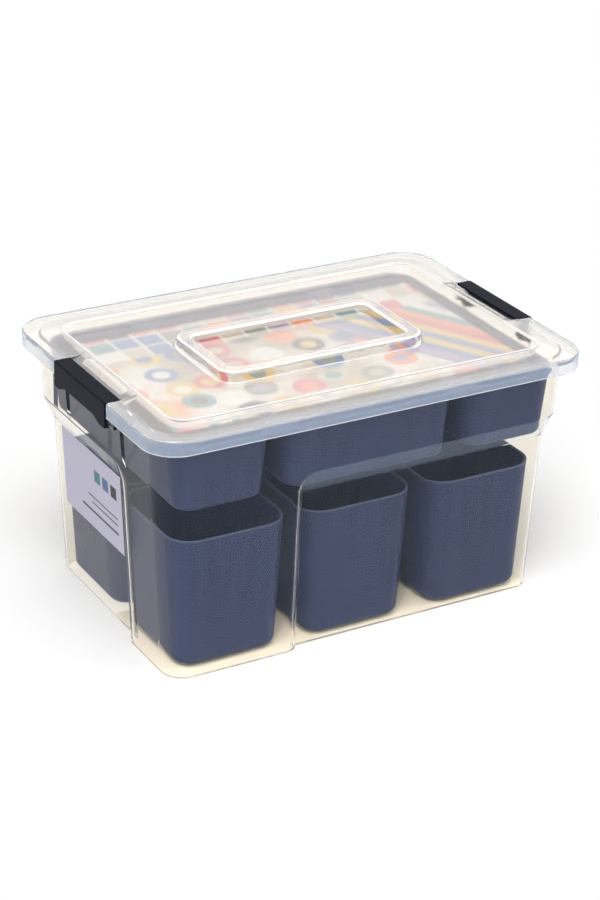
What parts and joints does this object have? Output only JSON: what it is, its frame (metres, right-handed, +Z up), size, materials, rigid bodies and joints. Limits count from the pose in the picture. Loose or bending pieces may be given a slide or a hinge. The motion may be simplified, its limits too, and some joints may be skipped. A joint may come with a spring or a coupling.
{
  "type": "art supply box",
  "caption": "Clear rectangular storage box with a clip-on lid, swinging end clips, a lift-out pocketed tray and loose rounded cups for art supplies.",
  "frame": {"origin": "under the middle of the tub, on the surface that it stands on", "axes": "+Z up, +X along the long side, front of the box facing -Y"},
  "size_m": [0.433, 0.3, 0.2445],
  "materials": {
    "clear_tub": "clear moulded polypropylene, slightly milky",
    "frosted_lid": "clear polypropylene, frosted on its flat faces",
    "clip_plastic": "satin charcoal polypropylene",
    "navy_plastic": "satin navy polypropylene",
    "printed_card": null,
    "label_paper": "matt label paper, unprinted but for plain bars"
  },
  "bodies": {
    "tub": {"tub": "clear_tub", "end_label": "label_paper"},
    "lid": {"lid": "frosted_lid"},
    "left_clip": {"left_clip": "clip_plastic"},
    "right_clip": {"right_clip": "clip_plastic"},
    "insert_card": {"insert_card": "printed_card"},
    "tray": {"tray": "navy_plastic"},
    "front_left_cup": {"front_left_cup": "navy_plastic"},
    "front_middle_cup": {"front_middle_cup": "navy_plastic"},
    "front_right_cup": {"front_right_cup": "navy_plastic"},
    "back_left_cup": {"back_left_cup": "navy_plastic"},
    "back_middle_cup": {"back_middle_cup": "navy_plastic"},
    "back_right_cup": {"back_right_cup": "navy_plastic"}
  },
  "joints": [
    {"name": "lid_lift", "type": "slide", "parent": "tub", "child": "lid", "axis": [0, 0, 1], "range_m": [0, 0.6]},
    {"name": "card_lift", "type": "slide", "parent": "tub", "child": "insert_card", "axis": [0, 0, 1], "range_m": [0, 0.52]},
    {"name": "tray_lift", "type": "slide", "parent": "tub", "child": "tray", "axis": [0, 0, 1], "range_m": [0, 0.43]},
    {"name": "front_left_cup_lift", "type": "slide", "parent": "tub", "child": "front_left_cup", "axis": [0, 0, 1], "range_m": [0, 0.26]},
    {"name": "front_middle_cup_lift", "type": "slide", "parent": "tub", "child": "front_middle_cup", "axis": [0, 0, 1], "range_m": [0, 0.26]},
    {"name": "front_right_cup_lift", "type": "slide", "parent": "tub", "child": "front_right_cup", "axis": [0, 0, 1], "range_m": [0, 0.26]},
    {"name": "back_left_cup_lift", "type": "slide", "parent": "tub", "child": "back_left_cup", "axis": [0, 0, 1], "range_m": [0, 0.26]},
    {"name": "back_middle_cup_lift", "type": "slide", "parent": "tub", "child": "back_middle_cup", "axis": [0, 0, 1], "range_m": [0, 0.26]},
    {"name": "back_right_cup_lift", "type": "slide", "parent": "tub", "child": "back_right_cup", "axis": [0, 0, 1], "range_m": [0, 0.26]},
    {"name": "left_clip_swing", "type": "hinge", "parent": "tub", "child": "left_clip", "pos_m": [-0.2105, 0, 0.2195], "axis": [0, -1, 0], "range_deg": [0, 110]},
    {"name": "right_clip_swing", "type": "hinge", "parent": "tub", "child": "right_clip", "pos_m": [0.2105, 0, 0.2195], "axis": [0, 1, 0], "range_deg": [0, 110]}
  ],
  "couplings": [
    {"joint": "card_lift", "follows": "lid_lift", "ratio": 0.85},
    {"joint": "tray_lift", "follows": "lid_lift", "ratio": 0.7},
    {"joint": "front_left_cup_lift", "follows": "lid_lift", "ratio": 0.42},
    {"joint": "front_middle_cup_lift", "follows": "lid_lift", "ratio": 0.42},
    {"joint": "front_right_cup_lift", "follows": "lid_lift", "ratio": 0.42},
    {"joint": "back_left_cup_lift", "follows": "lid_lift", "ratio": 0.42},
    {"joint": "back_middle_cup_lift", "follows": "lid_lift", "ratio": 0.42},
    {"joint": "back_right_cup_lift", "follows": "lid_lift", "ratio": 0.42}
  ]
}
